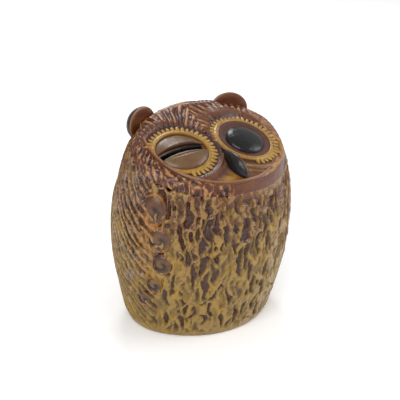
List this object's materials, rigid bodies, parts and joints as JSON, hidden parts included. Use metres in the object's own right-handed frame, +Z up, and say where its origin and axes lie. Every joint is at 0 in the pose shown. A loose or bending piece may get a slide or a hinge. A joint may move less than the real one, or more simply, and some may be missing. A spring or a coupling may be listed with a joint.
{
  "type": "figural owl coin bank",
  "caption": "Hollow ceramic owl money bank with a coin slot through its winking eye and a rubber stopper in its floor.",
  "frame": {"origin": "middle of the foot, on the surface that the bank stands on", "axes": "+Z up through the barrel's axis, -Y the way the owl looks, +X the owl's own left side"},
  "size_m": [0.134, 0.108, 0.151],
  "materials": {
    "feather_glaze": "satin gloss, mustard over brown",
    "brown_glaze": "satin gloss",
    "mustard_glaze": "satin gloss",
    "taupe_glaze": "satin gloss",
    "black_glaze": "high gloss",
    "bare_clay": "unglazed matt",
    "stopper_rubber": "matt"
  },
  "bodies": {
    "bank": {"body_shell": "feather_glaze", "base_floor": "bare_clay", "face_slab": "brown_glaze", "face_rim": "brown_glaze", "winking_eye_ring": "mustard_glaze", "open_eye_ring": "mustard_glaze", "open_eye_iris": "brown_glaze", "open_eye_pupil": "black_glaze", "upper_eyelid": "taupe_glaze", "lower_eyelid": "taupe_glaze", "forehead_crest": "brown_glaze", "left_brow": "brown_glaze", "right_brow": "brown_glaze", "beak": "black_glaze", "left_ear": "brown_glaze", "right_ear": "brown_glaze", "left_wing": "feather_glaze", "right_wing": "feather_glaze", "left_wing_curls": "feather_glaze", "right_wing_curls": "feather_glaze", "tail_feathers": "feather_glaze"},
    "stopper": {"stopper": "stopper_rubber"}
  },
  "joints": [
    {"name": "stopper_pull", "type": "slide", "parent": "bank", "child": "stopper", "axis": [0, 0, -1], "range_m": [0, 0.03]}
  ]
}
